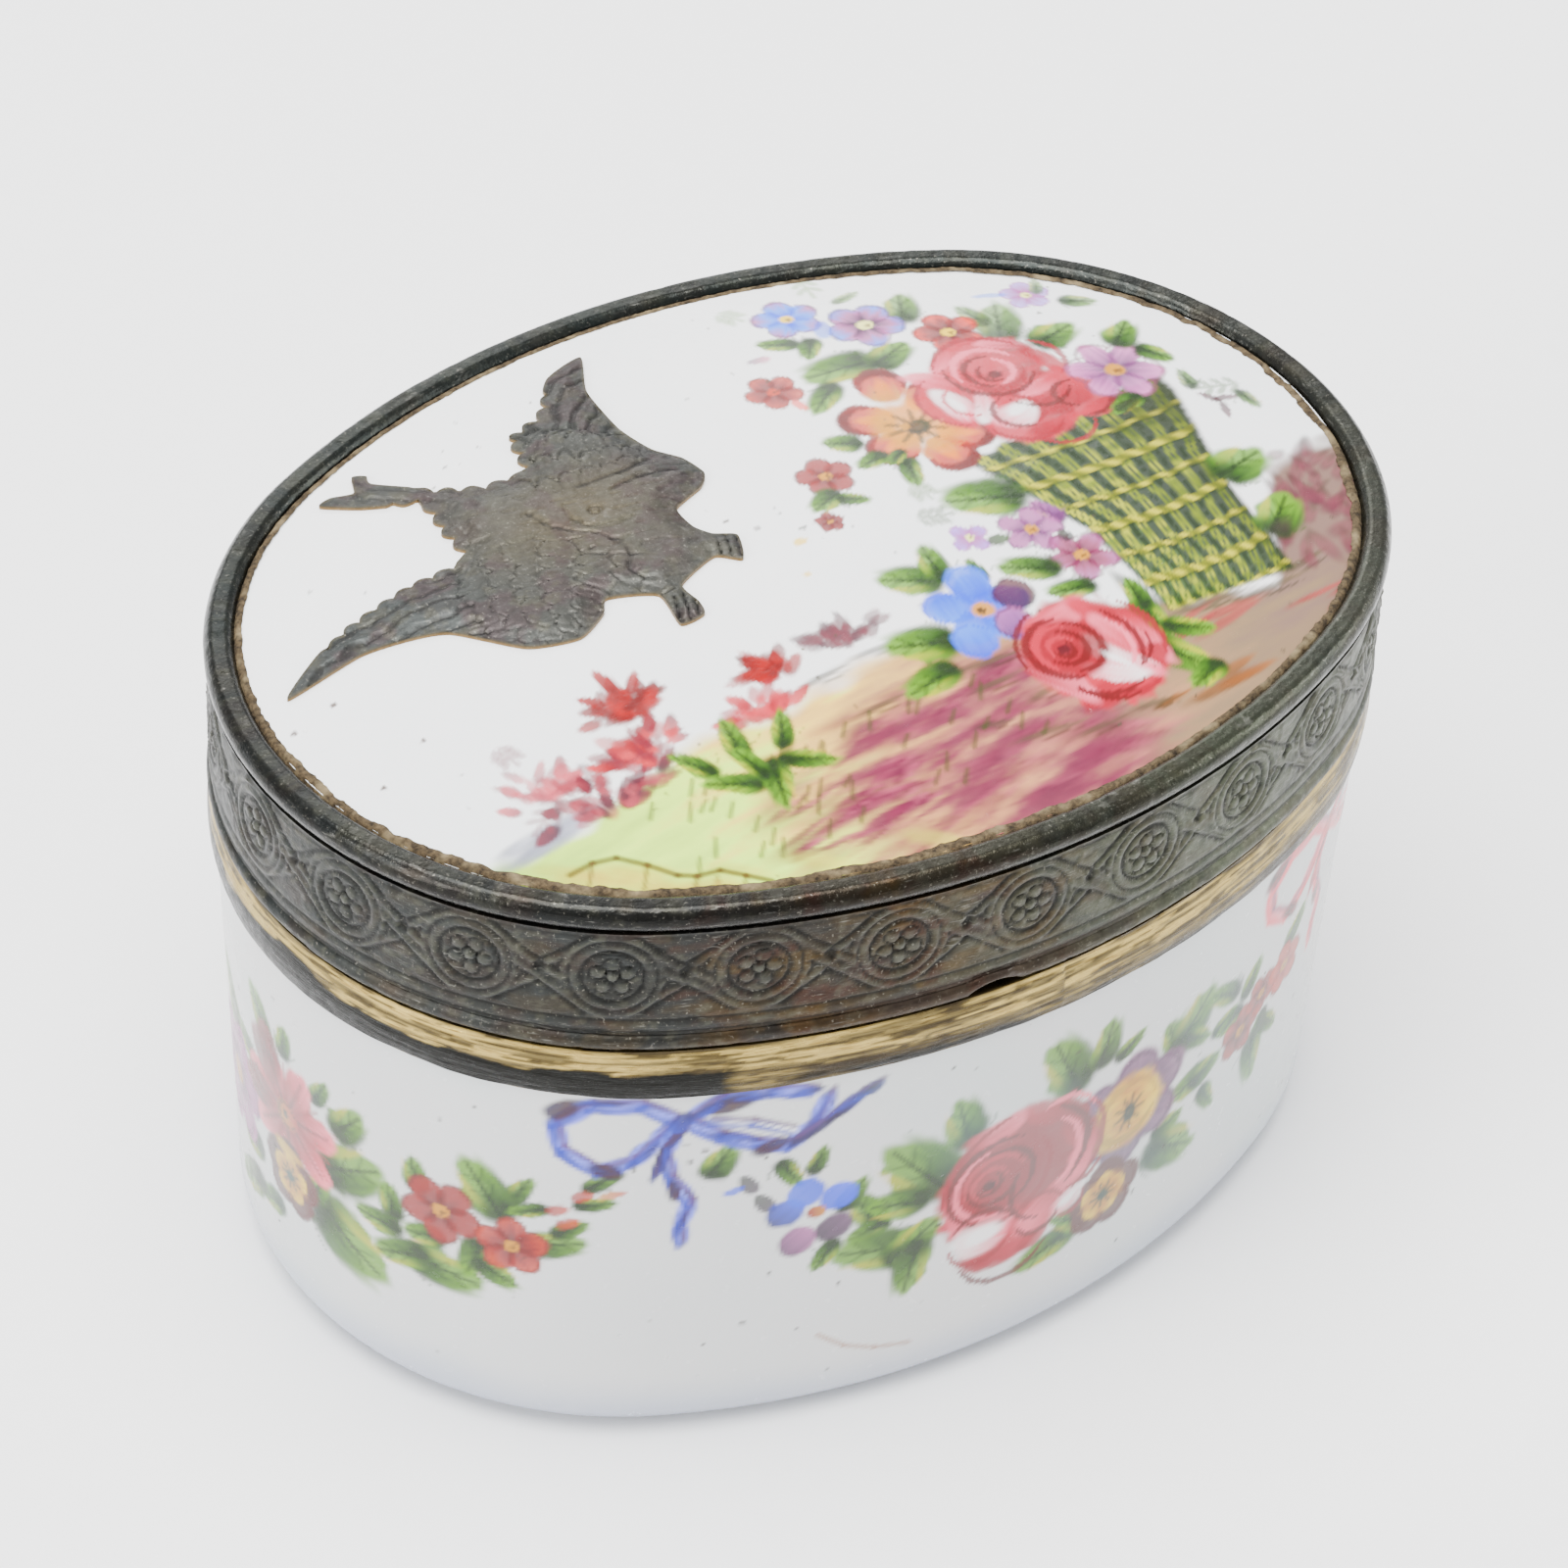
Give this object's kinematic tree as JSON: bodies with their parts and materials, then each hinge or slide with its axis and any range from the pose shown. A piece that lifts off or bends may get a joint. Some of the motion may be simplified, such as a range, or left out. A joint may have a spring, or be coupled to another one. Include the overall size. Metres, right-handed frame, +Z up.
{
  "type": "pill box",
  "caption": "Oval enamel pill box with a hinged lid, a chased silver rim and painted flowers, for holding small tablets.",
  "frame": {"origin": "centre of the oval on the face that the box stands on", "axes": "+X along the oval's length, +Y towards the hinge at the back, +Z up; the lid opens at the front, -Y"},
  "size_m": [0.05, 0.0392, 0.031],
  "materials": {
    "copper": "dull, oxidised copper",
    "painted_enamel": "glossy white enamel with painted flowers",
    "plain_enamel": "glossy plain white enamel",
    "cement": "rough brown cement",
    "gilt_silver": "worn gilding with dark tarnish",
    "tarnished_silver": "dark tarnished silver, chased",
    "hinge_silver": "tarnished silver",
    "swallow_silver": "tarnished, engraved silver"
  },
  "bodies": {
    "box": {"copper_bowl": "copper", "outer_enamel": "painted_enamel", "inner_enamel": "plain_enamel", "bowl_cement": "cement", "collar_band": "gilt_silver", "mouth_lip": "gilt_silver", "box_hinge_leaf": "hinge_silver", "box_knuckle_left": "hinge_silver", "box_knuckle_middle": "hinge_silver", "box_knuckle_right": "hinge_silver", "hinge_pin": "hinge_silver"},
    "lid": {"lid_band": "tarnished_silver", "rim_wire": "tarnished_silver", "seat_ring": "gilt_silver", "plaque_copper": "copper", "plaque_enamel": "painted_enamel", "plaque_lining": "plain_enamel", "plaque_cement": "cement", "swallow": "swallow_silver", "lid_hinge_leaf": "hinge_silver", "lid_knuckle_left": "hinge_silver", "lid_knuckle_right": "hinge_silver"}
  },
  "joints": [
    {"name": "lid_hinge", "type": "hinge", "parent": "box", "child": "lid", "pos_m": [0, 0.01965, 0.02245], "axis": [-1, 0, 0], "range_deg": [0, 98]}
  ]
}
